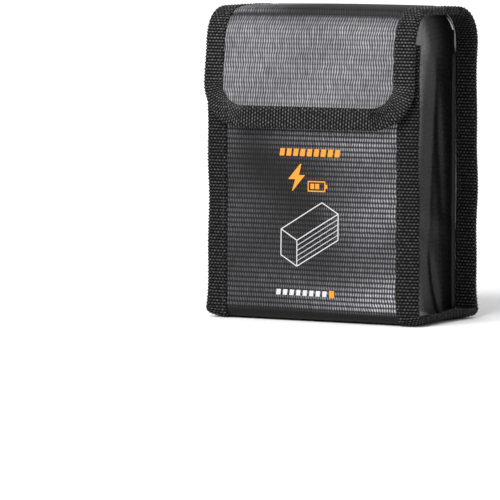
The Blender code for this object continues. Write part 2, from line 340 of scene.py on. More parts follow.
def painted_sheen_and_shade(x, s):
    """Painted sheen and shade on the outer cloth's ribs, 0 to 1, standing for the lamps'
    reflection on the glossy coat: light all over the closing flap, darker towards its crease,
    and on the front light down the right and dark in a band from the upper left to the lower middle."""
    y, z, heading = strip_line(s)
    right = smooth((x + 4.0) / 42.0)
    slant = z - 57.0 + 0.84 * (x + 7.0)
    front = 0.24 + 0.44 * right * (1.0 - 0.35 * bump((z - 36.0) / 12.0))
    upper = 0.12 + 0.3 * smooth((x + 34.0) / 26.0) * (1.0 - 0.6 * right)
    front = front + upper * smooth((z - 74.0) / 18.0)
    front = front + 0.26 * smooth((26.0 - z) / 18.0) * smooth((x + 34.0) / 50.0)
    front = front - 0.17 * bump(slant / 20.0) * (1.0 - right) * smooth((x + 47.0) / 20.0)
    front = front * (0.84 + 0.16 * np.sin(z / 6.5 + 1.1 * np.sin(x / 12.0)))
    past = s - S_CREASE
    flap = 0.68 * (1.0 - 0.6 * bump((past - 0.3) / 1.6) - 0.38 * bump((past - 1.5) / 4.5))
    flap = flap * (0.93 + 0.07 * np.sin(x / 9.0 + 2.0 * np.sin(s / 11.0)))
    cover = 0.07 + 0.4 * smooth((-4.0 - x) / 40.0)
    back = 0.34 + 0.08 * np.sin(x / 13.0 + z / 29.0)
    return np.where(s < S_FOOT, front, np.where(s > S_TOP, np.where(s > S_CREASE, flap, cover), back))


def rib_crest(columns):
    """The ribs' height, 0 to 1, as a cosine over columns of points."""
    return 0.5 + 0.5 * np.cos((np.arange(columns) % PER_RIB) * 2.0 * math.pi / PER_RIB)


def ribbed_sheet(name, start, end, step, rib, material):
    """A sheet of outer cloth on the strip, from start to end, with ribs along it. The
    columns wander together, so each rib stays on its own column: its height is a cosine
    across, and the wander is a sum of slow sines along. The ribs are pressed flat under
    the bottom, and near the flap's round corners the outer columns draw in."""
    columns = int(round(2.0 * CLOTH_HALF / rib["pitch"])) * PER_RIB + 1
    rows = int(round((end - start) / step)) + 1
    x, s = np.meshgrid(np.linspace(-CLOTH_HALF, CLOTH_HALF, columns), np.linspace(start, end, rows))
    x = draw_in(x, s, CLOTH_HALF)
    wander = 0.24 * np.sin(s / 1.9 + 2.0 * np.sin(x / 6.0)) + 0.16 * np.sin(s / 0.93 + x / 2.3)
    fade = smooth((CLOTH_HALF - np.abs(x)) / 3.0)
    pressed = smooth((s - S_FOOT + 2.0) / 2.5) * smooth((S_BACK + 1.0 - s) / 2.0)
    crest = rib_crest(columns) * (1.0 - pressed)
    height = rib["height"] * crest * fade
    across = x + wander * rib["wander"] * fade
    rings = sheet_rings(on_strip, across, s, CLOTH_DEPTH - height, CLOTH_DEPTH + CLOTH)
    # the third weave value is the rib crest times painted sheen and shade, drawn as a painted highlight
    weave = sheet_weave(x, s, crest * painted_sheen_and_shade(x, s))
    return make_piece(name, rings, closed_loft(rings), material, weave)


def plain_sheet(name, place, across, along, outer, inner, material):
    """A smooth sheet between two depths on any place function."""
    rings = sheet_rings(place, across, along, outer, inner)
    weave = sheet_weave(across, along, 0.5)
    return make_piece(name, rings, closed_loft(rings), material, weave)


# ---- binding tape -----------------------------------------------------------------------
def tape_section(width, half_thick):
    """Points of a folded tape, (in from the edge, off the middle, outward direction) from
    the front leaf's inner edge round the fold to the back leaf's, then back inside. The
    last row is the length round the tape's outer face, which carries the weave."""
    leaf = np.linspace(width, 1.6, 25)
    lip = 0.42 * bump((width - leaf) / 0.5)
    turn = np.linspace(QUARTER, -QUARTER, 11)[1:-1]
    fold_in = 1.6 - 1.6 * np.cos(turn)
    fold_off = half_thick * np.sin(turn)
    inward = np.concatenate([leaf, fold_in, leaf[::-1]])
    off = np.concatenate([half_thick - lip, fold_off, -(half_thick - lip)[::-1]])
    face_in = np.concatenate([0.0 * leaf, -np.cos(turn), 0.0 * leaf])
    face_off = np.concatenate([0.0 * leaf + 1.0, np.sin(turn), 0.0 * leaf - 1.0])
    back = np.linspace(0, len(inward) - 1, 15).round().astype(int)[::-1]
    inner_in = inward[back] - 0.5 * face_in[back]
    inner_off = off[back] - 0.5 * face_off[back]
    girth = run_lengths(np.stack([inward, off], axis=-1))
    return (np.concatenate([inward, inner_in]), np.concatenate([off, inner_off]),
            np.concatenate([face_in, 0.0 * inner_in]), np.concatenate([face_off, 0.0 * inner_off]),
            np.concatenate([girth, girth[back]]))


def run_lengths(points):
    """Length from the first point to each point."""
    return np.concatenate([[0.0], np.cumsum(np.hypot(*np.diff(points, axis=0).T))])


def tape_piece(name, place, edge, inward, tape, width, middle, start_row=0.0):
    """Folded tape along an edge. edge (stations, 2) and inward (stations, 2) are in the
    place function's own plane. Rows stand across the tape as a cosine of the length, and
    each row is broken into floats that are set half a step over in every other row."""
    section_in, section_off, face_in, face_off, girth = tape_section(width, STACK / 2.0)
    q = run_lengths(edge)[:, None] + start_row
    g = girth[None, :]
    row = 0.5 + 0.5 * np.cos(2.0 * math.pi * q / tape["pitch"])
    odd = np.round(q / tape["pitch"]) % 2.0
    floats = 0.5 + 0.5 * np.cos(2.0 * math.pi * g / tape["float"] + math.pi * odd)
    crest = row * (0.32 + 0.68 * floats)
    lively = 1.0 + 0.25 * np.sin(q / 7.3) * np.sin(g / 2.9 + q / 11.0)
    rise = tape["height"] * (crest * lively - 0.35)
    a = section_in + rise * face_in
    b = section_off + rise * face_off
    rings = place(edge[:, :1] + a * inward[:, :1], edge[:, 1:] + a * inward[:, 1:], middle - b)
    count, size = rings.shape[:2]
    ends = np.arange(count * size).reshape(count, size)[[0, -1]].tolist()
    # the third value is the row crest times the painted lightness, higher on the flap's tape
    weave = np.stack(np.broadcast_arrays(g, q, crest * tape["wear_and_painted_light"]), axis=-1)
    return make_piece(name, rings, tube(count, size), MATERIALS["grosgrain_tape"], weave,
                      70.0, (ends[0][::-1], ends[1]))


def edge_path(corners, step):
    """Stations along straight and round runs. corners lists (p, r, radius) and the path
    rounds each inner corner with an arc; returns places and the unit vectors to the left."""
    points = [np.array(corners[0][:2], float)]
    for before, here, after in zip(corners, corners[1:], corners[2:]):
        at = np.array(here[:2], float)
        back = np.array(before[:2], float) - at
        on = np.array(after[:2], float) - at
        back /= np.hypot(*back)
        on /= np.hypot(*on)
        angle = math.acos(float(np.clip(back @ on, -1.0, 1.0)))
        cut = here[2] / math.tan(angle / 2.0)
        bisector = (back + on) / np.hypot(*(back + on))
        centre = at + bisector * here[2] / math.sin(angle / 2.0)
        first = at + back * cut - centre
        sweep = math.pi - angle
        sense = np.sign(first[0] * (at - centre)[1] - first[1] * (at - centre)[0])
        turns = np.linspace(0.0, sense * sweep, 24)
        points += [centre + np.array([first[0] * math.cos(t) - first[1] * math.sin(t),
                                      first[0] * math.sin(t) + first[1] * math.cos(t)]) for t in turns]
    points.append(np.array(corners[-1][:2], float))
    points = np.array(points)
    length = run_lengths(points)
    keep = np.concatenate([[True], np.diff(length) > 1e-9])
    even = np.linspace(0.0, length[-1], int(round(length[-1] / step)) + 1)
    line = np.stack([np.interp(even, length[keep], points[keep, i]) for i in (0, 1)], axis=-1)
    way = np.gradient(line, axis=0)
    way /= np.hypot(way[:, 0], way[:, 1])[:, None]
    return line, np.stack([-way[:, 1], way[:, 0]], axis=-1)


def thread_run(name, place, edge, inward, inset, height, pitch=3.1, length=2.3):
    """Stitches along an edge: each is an ellipsoid of six rings with eight points,
    stretched along the seam, half sunk in the tape."""
    total = run_lengths(edge)
    marks = np.arange(pitch, total[-1] - pitch, pitch)
    at = np.stack([np.interp(marks, total, (edge + inset * inward)[:, i]) for i in (0, 1)])[..., None, None]
    side = np.stack([np.interp(marks, total, inward[:, i]) for i in (0, 1)])[..., None, None]
    v = np.linspace(-1.0, 1.0, 6)[:, None]
    w = np.arange(8) * math.pi / 4.0
    girth = 0.24 * np.sqrt(np.maximum(1.0 - np.square(v) * 0.98, 0.0))
    along = 0.5 * length * v + 0.0 * w
    across = girth * np.cos(w)
    p = at[0] + along * side[1] + across * side[0]
    r = at[1] - along * side[0] + across * side[1]
    points = place(p, r, height - girth * np.sin(w) + 0.0 * p)
    ends = np.array([[0, 1, 2, 3], [0, 3, 4, 7], [4, 5, 6, 7]])
    faces = np.concatenate([tube(6, 8), ends[:, ::-1], ends + 40])
    every = (faces[None] + (np.arange(len(marks)) * 48)[:, None, None]).reshape(-1, 4)
    return make_piece(name, points, every, MATERIALS["polyester_thread"], crease=80.0)


def stitch_both(name, place, edge, inward, inset, top=0.0):
    """A row of stitches on each face of a bound edge whose outer face is at the depth top."""
    return [thread_run(f"{name}_{face}_stitches", place, edge, inward, inset, top + height)
            for face, height in (("outer", -STITCH_SINK), ("inner", STACK + STITCH_SINK))]


# ---- materials ------------------------------------------------------------------------------
def node(tree, kind, inputs=(), **settings):
    """Adds a node, sets its properties, and fills its inputs with values or links."""
    made = tree.nodes.new(kind)
    for key, value in settings.items():
        setattr(made, key, value)
    for key, value in dict(inputs).items():
        if isinstance(value, bpy.types.NodeSocket):
            tree.links.new(value, made.inputs[key])
        else:
            made.inputs[key].default_value = value
    return made


def new_material(name, roughness, ior=1.5, **sockets):
    """Node tree and Principled shader of a new material, with constants on its sockets."""
    material = bpy.data.materials.new(name)
    material.use_nodes = True
    shader = material.node_tree.nodes["Principled BSDF"]
    shader.inputs["Roughness"].default_value = roughness
    shader.inputs["IOR"].default_value = ior
    for key, value in sockets.items():
        shader.inputs[key.replace("_", " ")].default_value = value
    MATERIALS[name] = material
    return material.node_tree, shader


def maths(tree, operation, *values):
    """The result of a Math node on sockets or numbers."""
    return node(tree, "ShaderNodeMath", dict(enumerate(values)), operation=operation).outputs[0]


def noise(tree, vector, scale, detail, stretch=None):
    """Noise on a vector, which may be stretched first."""
    if stretch:
        vector = node(tree, "ShaderNodeMapping", {"Vector": vector, "Scale": stretch}).outputs[0]
    return node(tree, "ShaderNodeTexNoise", {"Vector": vector, "Scale": scale, "Detail": detail}).outputs[0]


def spread_range(tree, value, low, high, to_low, to_high):
    """A value carried from one range to another, and held at its ends."""
    return node(tree, "ShaderNodeMapRange", {"Value": value, "From Min": low, "From Max": high,
                                             "To Min": to_low, "To Max": to_high}).outputs[0]


def finish(tree, shader, fac, dark, light, strength, depth, height):
    """Colour from dark to light by fac, and relief of a depth in metres."""
    colour = node(tree, "ShaderNodeMix", {"Factor": fac, 6: dark, 7: light}, data_type="RGBA")
    tree.links.new(colour.outputs[2], shader.inputs["Base Color"])
    relief = node(tree, "ShaderNodeBump", {"Strength": strength, "Distance": depth, "Height": height})
    tree.links.new(relief.outputs[0], shader.inputs["Normal"])


def weave_values(tree):
    """The weave vector, and its across, along and crest values, each as a socket."""
    vector = node(tree, "ShaderNodeAttribute", attribute_name="weave",
                  attribute_type="GEOMETRY").outputs["Vector"]
    parts = node(tree, "ShaderNodeSeparateXYZ", {0: vector}).outputs
    return vector, parts[0], parts[1], parts[2]


def coated_cloth(name, valley, crest, line, roughness, gloss, matt=0.35, depth=0.00016):
    """Glass-fibre cloth, woven in ribs and coated with black rubber. The ribs' tops are painted
    grey, a painted highlight for the ribs' shine, over the coat's own black between them, and
    the highlight is broken by a dark nick across every 2.3 mm where a weft thread passes under."""
    tree, shader = new_material(name, roughness, Specular_IOR_Level=gloss)
    vector, across, along, high = weave_values(tree)
    grain = (0.8, 0.16, 0.0)
    phase = maths(tree, "MULTIPLY", noise(tree, vector, 2.2, 1.0, grain), 1.6)
    wave = maths(tree, "SINE", maths(tree, "MULTIPLY_ADD", along, 2.0 * math.pi / 2.3, phase))
    nick = spread_range(tree, wave, -0.9, 0.6, line, 1.0)
    tone = spread_range(tree, noise(tree, vector, 1.0, 3.0, grain), 0.3, 0.7, 0.55, 1.15)
    # painted highlight on the ribs, from the crest value with its painted sheen and shade
    painted_rib_highlight = maths(tree, "POWER", high, 1.25)
    fac = maths(tree, "MULTIPLY", maths(tree, "MULTIPLY", painted_rib_highlight, tone), nick)
    finish(tree, shader, fac, valley, crest, 0.8, depth, fac)
    rough = spread_range(tree, fac, 0.0, 0.6, roughness + matt, roughness)
    tree.links.new(rough, shader.inputs["Roughness"])


def woven_tape(name, valley, crest):
    """Polypropylene grosgrain tape. Matt yarn whose floats are painted lighter on top, a painted
    highlight for their faint shine, with near-black gaps between the rows."""
    tree, shader = new_material(name, 0.7, Specular_IOR_Level=0.06)
    vector, across, along, high = weave_values(tree)
    lint = noise(tree, vector, 1.0, 3.0, (1.4, 9.0, 0.0))
    wear_and_painted_light = noise(tree, vector, 1.0, 2.0, (0.62, 0.8, 0.0))
    tone = spread_range(tree, wear_and_painted_light, 0.34, 0.66, 0.3, 1.25)
    # painted highlight on the floats' tops
    fac = maths(tree, "MULTIPLY", maths(tree, "POWER", high, 2.2), tone)
    finish(tree, shader, fac, valley, crest, 0.7, 0.00012, lint)


def silver_lining(name, base, thread):
    """Fine glass-fibre cloth with a silver-white coat: a dull sheen and a plain weave that
    is drawn at 0.9 mm, coarser than the real 0.4 mm, so that it shows."""
    tree, shader = new_material(name, 0.5, Specular_IOR_Level=0.4)
    vector, across, along, high = weave_values(tree)
    warp, weft = (maths(tree, "SINE", maths(tree, "MULTIPLY", value, 2.0 * math.pi / 0.9))
                  for value in (across, along))
    over = maths(tree, "MULTIPLY", warp, weft)
    fac = maths(tree, "MULTIPLY", spread_range(tree, over, -1.0, 1.0, 0.0, 0.55),
                noise(tree, vector, 0.12, 4.0))
    finish(tree, shader, fac, base, thread, 0.6, 0.0001, over)


def grained(name, dark, light, scale, roughness, depth, **sockets):
    """A one-colour finish with grain on Object coordinates: fuzzy pile, moulded nylon,
    waxed thread, printing ink or floor paper, by its scale, depth and roughness."""
    tree, shader = new_material(name, roughness, **sockets)
    grain = noise(tree, node(tree, "ShaderNodeTexCoord").outputs["Object"], scale, 4.0)
    finish(tree, shader, grain, dark, light, 0.5, depth, grain)


# ---- settings that a user would change ---------------------------------------------------------
def colour_setting(name, description, hex_colour):
    return bpy.props.FloatVectorProperty(name=name, description=description, subtype="COLOR", size=4,
                                         min=0.0, max=1.0, default=linear(hex_colour))


def length_setting(name, description, millimetres):
    return bpy.props.FloatProperty(name=name, description=description, default=millimetres * MM,
                                   subtype="DISTANCE", unit="LENGTH", precision=5)


def angle_setting(name, description, degrees):
    return bpy.props.FloatProperty(name=name, description=description, default=math.radians(degrees),
                                   subtype="ANGLE")


def number_setting(name, description, value, unit="NONE"):
    return bpy.props.FloatProperty(name=name, description=description, default=value, unit=unit)


class SafeBagCloth(bpy.types.PropertyGroup):
    """The black coated cloth."""
    rib_pitch: length_setting("Rib pitch", "Distance from one rib to the next", 1.27)
    rib_height: length_setting("Rib height", "How far a rib stands out", 0.2)
    rib_wander: number_setting("Rib wander", "How much the ribs wave", 1.0)
    valley: colour_setting("Between ribs", "Coat between the ribs", "#060607")
    # The rib colours are painted highlights: light grey on the ribs' tops in place of their shine; the
    # colour between them is the coat's own black.
    crest: colour_setting("On ribs", "Thin coat on top of the ribs", "#d6d6de")
    side_crest: colour_setting("Side ribs", "Coat on the gussets' ribs", "#17171a")


class SafeBagTape(bpy.types.PropertyGroup):
    """The woven binding tape."""
    row_pitch: length_setting("Row pitch", "Distance from one woven row to the next", 1.46)
    float_pitch: length_setting("Float pitch", "Distance between the floats in a row", 1.7)
    row_height: length_setting("Row height", "How far a row stands out", 0.55)
    gap: colour_setting("Between rows", "Tape between the rows", "#040404")
    # The yarn colour is a painted highlight on the floats' tops.
    yarn: colour_setting("Yarn", "Tape on top of the rows", "#6e6e6e")


class SafeBagInside(bpy.types.PropertyGroup):
    """Lining, closures and print."""
    lining: colour_setting("Lining", "Silver-white lining", "#dcdcd8")
    thread: colour_setting("Lining thread", "Shade between the lining's threads", "#9a9a98")
    pile: colour_setting("Closure", "Loop pile and hooks", "#0d0d0d")
    white_ink: colour_setting("White ink", "Print on the front", "#cbcbcd")
    orange_ink: colour_setting("Orange ink", "Print on the front", "#e08e1e")


class SafeBagStage(bpy.types.PropertyGroup):
    """Camera and light."""
    azimuth: angle_setting("Azimuth", "Camera angle to the bag's right", 28.3)
    elevation: angle_setting("Elevation", "Camera angle above the floor", 3.5)
    pan: angle_setting("Pan", "Camera turned left past the bag's centre", 1.11)
    tilt: angle_setting("Tilt", "Camera turned down past the bag's centre", 1.06)
    distance: length_setting("Distance", "Camera to the bag's centre", 2200.0)
    lens: number_setting("Lens", "Focal length in millimetres", 338.6)
    key: number_setting("Key light", "Strength of the wide front light", 3.4)
    key_size: angle_setting("Key size", "Angle that the front light fills", 42.0)
    key_azimuth: angle_setting("Key azimuth", "Front light to the bag's right", -8.0)
    key_elevation: angle_setting("Key elevation", "Front light above the floor", 38.0)
    sky: number_setting("Sky", "Strength of the even light all round", 0.68)
    side: number_setting("Side light", "Power of the narrow box on the right", 1.3, "POWER")


def rib_sizes(scene):
    """Rib sizes in millimetres."""
    cloth = scene.safe_bag_cloth
    return {"pitch": cloth.rib_pitch / MM, "height": cloth.rib_height / MM, "wander": cloth.rib_wander}


def tape_sizes(scene, wear_and_painted_light=0.9):
    """Tape sizes in millimetres, and a painted lightness for its rows: the same tape is painted lighter on
    the closing flap than on the body, painted light and shade.
    """
    tape = scene.safe_bag_tape
    return {"pitch": tape.row_pitch / MM, "float": tape.float_pitch / MM, "height": tape.row_height / MM,
            "wear_and_painted_light": wear_and_painted_light}


def fasten_layer(front, back, flap, kind, start, end, half, **front_hold):
    """Moves one layer's front sheet with the bag's body, bakes its back and flap sheets in
    place, and hides the layer's frame nodes named by kind. start, end, half and front_hold are not used."""
    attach(front, "bag")
    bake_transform(back)
    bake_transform(flap)
    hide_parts("front_" + kind, "bottom_" + kind)
    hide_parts("back_" + kind)
    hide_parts("cover_" + kind, "flap_" + kind)


class SafeBagOperator(bpy.types.Operator):
    """Base of the bag's operators."""
    bl_options = {"REGISTER", "UNDO"}


class SAFEBAG_OT_stage(SafeBagOperator):
    """Make the floor, the soft lights and the camera"""
    bl_idname = "safe_bag.stage"
    bl_label = "Stage"

    def execute(self, context):
        stage = context.scene.safe_bag_stage
        grained("floor_paper", linear("#f4f4f4"), linear("#fbfbfb"), 9.0, 0.9, 0.0001)
        reach = 15.0
        mesh = bpy.data.meshes.new("floor")
        mesh.from_pydata([(-reach, -reach, 0.0), (reach, -reach, 0.0), (reach, reach, 0.0),
                          (-reach, reach, 0.0)], [], [(0, 1, 2, 3)])
        mesh.materials.append(MATERIALS["floor_paper"])
        floor = bpy.data.objects.new("floor", mesh)
        context.scene.collection.objects.link(floor)

        world = bpy.data.worlds.new("studio")
        world.use_nodes = True
        sky = world.node_tree.nodes["Background"]
        sky.inputs["Color"].default_value = (1.0, 1.0, 1.0, 1.0)
        sky.inputs["Strength"].default_value = stage.sky
        context.scene.world = world
        context.scene.view_settings.view_transform = "Standard"

        key = bpy.data.lights.new("key", "SUN")
        key.energy = stage.key
        key.angle = stage.key_size
        self.aim(context, key, stage.key_azimuth, stage.key_elevation, 0.0)
        box = bpy.data.lights.new("side", "AREA")
        box.shape = "RECTANGLE"
        box.size, box.size_y = 0.07, 0.6
        box.energy = stage.side
        self.aim(context, box, math.radians(156.0), math.radians(12.0), 0.9)

        data = bpy.data.cameras.new("camera")
        data.lens = stage.lens
        data.sensor_width = 36.0
        data.clip_end = 100.0
        camera = self.aim(context, data, stage.azimuth, stage.elevation, stage.distance)
        camera.rotation_euler = (QUARTER - stage.elevation - stage.tilt, 0.0, stage.azimuth + stage.pan)
        context.scene.camera = camera
        return {"FINISHED"}

    @staticmethod
    def direction(azimuth, elevation):
        """The unit vector from the bag towards an azimuth to its right and an elevation."""
        return Vector((math.sin(azimuth) * math.cos(elevation),
                       -math.cos(azimuth) * math.cos(elevation), math.sin(elevation)))

    def aim(self, context, data, azimuth, elevation, distance):
        """A light or camera at a distance from the bag's centre, turned towards it."""
        made = bpy.data.objects.new(data.name, data)
        way = self.direction(azimuth, elevation)
        made.location = Vector((0.0, 0.0, TOP * MM / 2.0)) + way * distance
        made.rotation_euler = way.to_track_quat("Z", "Y").to_euler()
        context.scene.collection.objects.link(made)
        return made


class SAFEBAG_OT_finishes(SafeBagOperator):
    """Mix the cloth, tape, lining, closure, thread and ink finishes"""
    bl_idname = "safe_bag.finishes"
    bl_label = "Finishes"

    def execute(self, context):
        cloth = context.scene.safe_bag_cloth
        tape = context.scene.safe_bag_tape
        inside = context.scene.safe_bag_inside
        coated_cloth("coated_glass_cloth", cloth.valley, cloth.crest, 0.12, 0.3, 0.22)
        coated_cloth("coated_flap_cloth", cloth.valley, cloth.crest, 0.62, 0.3, 0.25)
        coated_cloth("coated_gusset_cloth", cloth.valley, cloth.side_crest, 0.4, 0.24, 0.2,
                     0.1, 0.00003)
        woven_tape("grosgrain_tape", tape.gap, tape.yarn)
        silver_lining("silver_lining_cloth", inside.lining, inside.thread)
        grained("loop_pile", linear("#010101"), inside.pile, 2200.0, 0.95, 0.0004,
                Sheen_Weight=0.1, Sheen_Roughness=0.5)
        grained("moulded_nylon_hooks", linear("#060606"), inside.pile, 900.0, 0.45, 0.00005)
        grained("polyester_thread", linear("#050505"), linear("#141414"), 1600.0, 0.6, 0.0001)
        grained("white_screen_ink", linear("#b4b4b6"), inside.white_ink, 700.0, 0.5, 0.00003)
        grained("orange_screen_ink", linear("#cf7d14"), inside.orange_ink, 700.0, 0.5, 0.00003)
        return {"FINISHED"}


class SAFEBAG_OT_outer_cloth(SafeBagOperator):
    """Make the outer cloth of the front, the back and the cover with its closing flap"""
    bl_idname = "safe_bag.outer_cloth"
    bl_label = "Outer cloth"

    def execute(self, context):
        rib = rib_sizes(context.scene)
        cloth, flap_cloth = MATERIALS["coated_glass_cloth"], MATERIALS["coated_flap_cloth"]
        end = S_END - CLOTH_DEPTH
        front = ribbed_sheet("front_cloth", 0.0, S_MID_SOLE, 1.3, rib, cloth)
        back = ribbed_sheet("back_cloth", S_MID_SOLE, S_MID_TOP, 1.95, rib, cloth)
        flap = ribbed_sheet("cover_and_flap_cloth", S_MID_TOP, end, 1.3, rib, flap_cloth)
        fasten_layer(front, back, flap, "panel", 0.0, end, CLOTH_HALF, rests_on=["front_left_binding"])
        return {"FINISHED"}


class SAFEBAG_OT_lining(SafeBagOperator):
    """Make the silver lining of the walls and bottom, and of the cover with its flap"""
    bl_idname = "safe_bag.lining"
    bl_label = "Lining"

    def execute(self, context):
        mouth, end = 0.6, S_END - CLOTH_DEPTH - 0.2

        def lining(name, start, end):
            x, s = np.meshgrid(np.linspace(-LINING_HALF, LINING_HALF, 45),
                               np.linspace(start, end, int((end - start) / 1.6)))
            return plain_sheet(name, on_strip, draw_in(x, s, LINING_HALF), s, LINING_DEPTH,
                               LINING_DEPTH + LINING, MATERIALS["silver_lining_cloth"])

        front = lining("front_wall_lining", mouth, S_MID_SOLE)
        back = lining("back_wall_lining", S_MID_SOLE, S_MID_TOP)
        flap = lining("cover_and_flap_lining", S_MID_TOP, end)
        fasten_layer(front, back, flap, "lining", mouth, end, LINING_HALF)
        return {"FINISHED"}


class SAFEBAG_OT_tapes(SafeBagOperator):
    """Make the binding tape along both edges of the strip and round the closing flap"""
    bl_idname = "safe_bag.tapes"
    bl_label = "Binding tapes"

    def execute(self, context):
        tape = tape_sizes(context.scene)
        step = tape["pitch"] / 5.0
        width = HALF_W - EDGE_IN
        for side, name in ((-1.0, "left"), (1.0, "right")):
            for part, begin, end in (("front", 0.0, S_MID_SOLE), ("back", S_MID_SOLE, S_MID_TOP)):
                edge, left = edge_path([(side * HALF_W, begin, 0.0), (side * HALF_W, end, 0.0)], step)
                inward = np.stack([0.0 * left[:, 0] - side, 0.0 * left[:, 1]], axis=-1)
                piece = tape_piece(f"{part}_{name}_tape", on_strip, edge, inward, tape, width,
                                   STACK / 2.0, begin)
                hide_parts(f"{part}_{name}_binding",
                            *([f"bottom_{name}_binding"] if part == "front" else []))
                seams = stitch_both(f"{part}_{name}", on_strip, edge, inward, width - STITCH_IN)
                for each in [piece] + seams:
                    if part == "front":
                        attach(each, "bag")
                    else:
                        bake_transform(each)
        shift = S_MID_TOP - round(S_MID_TOP / tape["pitch"]) * tape["pitch"]
        edge, left = edge_path([(HALF_W, S_MID_TOP, 0.0), (HALF_W, S_END, FLAP_CORNER),
                                (-HALF_W, S_END, FLAP_CORNER), (-HALF_W, S_MID_TOP, 0.0)], step)
        # the flap's tape gets more painted light than the body's tapes
        piece = tape_piece("flap_edge_tape", on_strip, edge, left, tape_sizes(context.scene, 1.12), width,
                           STACK / 2.0, shift)
        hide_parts("cover_left_binding", "cover_right_binding", "flap_binding")
        for each in [piece] + stitch_both("flap_edge", on_strip, edge, left, width - STITCH_IN):
            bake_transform(each)
        return {"FINISHED"}


class SAFEBAG_OT_gussets(SafeBagOperator):
    """Make each gusset with its tuck flap, their lining and the tuck flap's tape"""
    bl_idname = "safe_bag.gussets"
    bl_label = "Gussets and tuck flaps"

    def execute(self, context):
        tape = tape_sizes(context.scene)
        for side, name in ((-1.0, "left"), (1.0, "right")):
            cloth = self.cloth(side, name + "_gusset_and_tuck_cloth", 0.0, CLOTH,
                               MATERIALS["coated_gusset_cloth"], "gusset_cloth")
            lining = self.cloth(side, name + "_gusset_and_tuck_lining", CLOTH + GAP, LINING,
                                MATERIALS["silver_lining_cloth"], "lining")
            for piece in (cloth, lining):
                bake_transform(piece)
            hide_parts(name + "_gusset", name + "_tuck_panel")
            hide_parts(name + "_lining", name + "_tuck_lining")

            front = GUSSET_FRONT + GAP
            root = TUCK_ROOT + 2.0
            edge, left = edge_path([(front, root, 0.0), (front, TUCK_LENGTH, 3.0),
                                    (TUCK_BACK[1], TUCK_LENGTH, 3.0), (tuck_back(root), root, 0.0)],
                                   tape["pitch"] / 5.0)
            middle = GAP + STACK / 2.0
            place = on_tuck(side)

            def flipped(y, t, height):
                return place(y, t, 2.0 * middle - height)

            piece = tape_piece(name + "_tuck_tape", flipped, edge, -left, tape, TUCK_TAPE, middle)
            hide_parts(name + "_tuck_binding")
            for each in [piece] + stitch_both(name + "_tuck", flipped, edge, -left, 7.4, GAP):
                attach(each, name + "_tuck")
        return {"FINISHED"}

    def cloth(self, side, name, depth, thick, material, slot):
        """One sheet up the gusset, over a soft fold under the cover and in along the tuck
        flap: v runs from the front edge to the back, t from the foot to the tip. The fold's
        height at each y follows the cover's arch, and a smooth step carries the sheet from
        the fold to the tuck flap. The wall is drawn in at the middle, with a few soft
        creases, and its edges stand out where they are sewn."""
        columns, rows = 43 * PER_RIB + 1, 150
        v, t = np.meshgrid(np.linspace(0.0, 1.0, columns), np.linspace(0.0, 1.0, rows))
        fold = 0.73
        u = np.clip(t / fold, 0.0, 1.0)
        w = np.clip((t - fold) / (1.0 - fold), 0.0, 1.0)
        inset = 0.4 if depth else 0.0
        y_wall = GUSSET_FRONT + inset + (GUSSET_BACK - GUSSET_FRONT - 2.0 * inset) * v
        radius = 15.3 + 1.1 * smooth((y_wall + 4.0) / 8.0)
        beyond = np.clip(np.abs(y_wall - 0.3) - 14.3, 0.0, radius - 0.2)
        arch = ARCH_Z + np.sqrt(np.square(radius) - np.square(beyond))
        foot = GUSSET_FOOT - 0.3 + inset
        z_wall = foot + (arch - foot) * u
        tuck_t = 1.4 + (TUCK_LENGTH - 2.4) * w
        y_tuck = (GUSSET_FRONT + 1.2) + (tuck_back(tuck_t) - 0.9 - GUSSET_FRONT - 1.2) * v
        flat = on_tuck(side)(y_tuck, tuck_t, 0.0 * v + GAP + STACK - CLOTH_DEPTH)

        # how far the wall is drawn in, and how far its sewn edges stand out
        middle = np.cos(math.pi * np.clip((y_wall - 1.5) / 56.0, -0.5, 0.5))
        up = np.clip(z_wall / 130.0, 0.0, 1.0)
        pull = 2.6 * middle * np.sin(math.pi * up ** 0.7) ** 0.8
        low_crease = bump((y_wall - 9.0 - 0.25 * (30.0 - z_wall)) / 2.6) * bump((z_wall - 14.0) / 16.0)
        pull = pull - 0.45 * bump((y_wall - 9.0 - 0.05 * (z_wall - 70.0)) / 3.2) * np.sin(math.pi * up)
        high_crease = bump((y_wall - 18.0 + 0.1 * (z_wall - 70.0)) / 3.0) * bump((z_wall - 78.0) / 34.0)
        pull = pull + 0.8 * low_crease + 0.5 * high_crease
        pull = pull + 0.16 * np.sin(z_wall / 3.1 + y_wall / 6.0) * bump((z_wall - 44.0) / 12.0)
        pull = pull + 0.3 * np.sin(y_wall / 3.4 + z_wall / 15.0) * bump((z_wall - 112.0) / 14.0)
        seam = smooth((np.abs(v - 0.5) - 0.468) / 0.032) * (1.0 - smooth((z_wall - 122.0) / 6.0))
        hem = 0.7 * (1.0 - smooth((z_wall - foot) / 1.4))
        seam = np.maximum(seam, hem) * (0.0 if depth else 0.9)
        x_wall = GUSSET_X - pull * (1.0 - smooth((z_wall - 118.0) / 12.0)) + seam

        wall = t <= fold
        x = np.where(wall, x_wall, GUSSET_X + (np.abs(flat[..., 0]) - GUSSET_X) * smooth(w / 0.05))
        y = np.where(wall, y_wall, y_wall + (y_tuck - y_wall) * smooth(w / 0.12))
        z = np.where(wall, z_wall, arch + (flat[..., 2] - arch) * smooth(w / 0.18))
        crest = np.broadcast_to(rib_crest(columns), v.shape)
        centre = np.stack([x, y, z], axis=-1)
        normal = np.cross(np.gradient(centre, axis=1), np.gradient(centre, axis=0))
        normal /= np.linalg.norm(normal, axis=-1, keepdims=True)
        outer = centre + normal * (0.03 * crest[..., None] - depth)
        inner = centre - normal * (depth + thick)
        rings = np.concatenate([outer, inner[:, ::-1]], axis=1) * np.array([side, 1.0, 1.0])
        weave = sheet_weave(v * GUSSET_WEAVE[0], t * GUSSET_WEAVE[1], crest)
        return make_piece(name, rings, closed_loft(rings), material, weave)


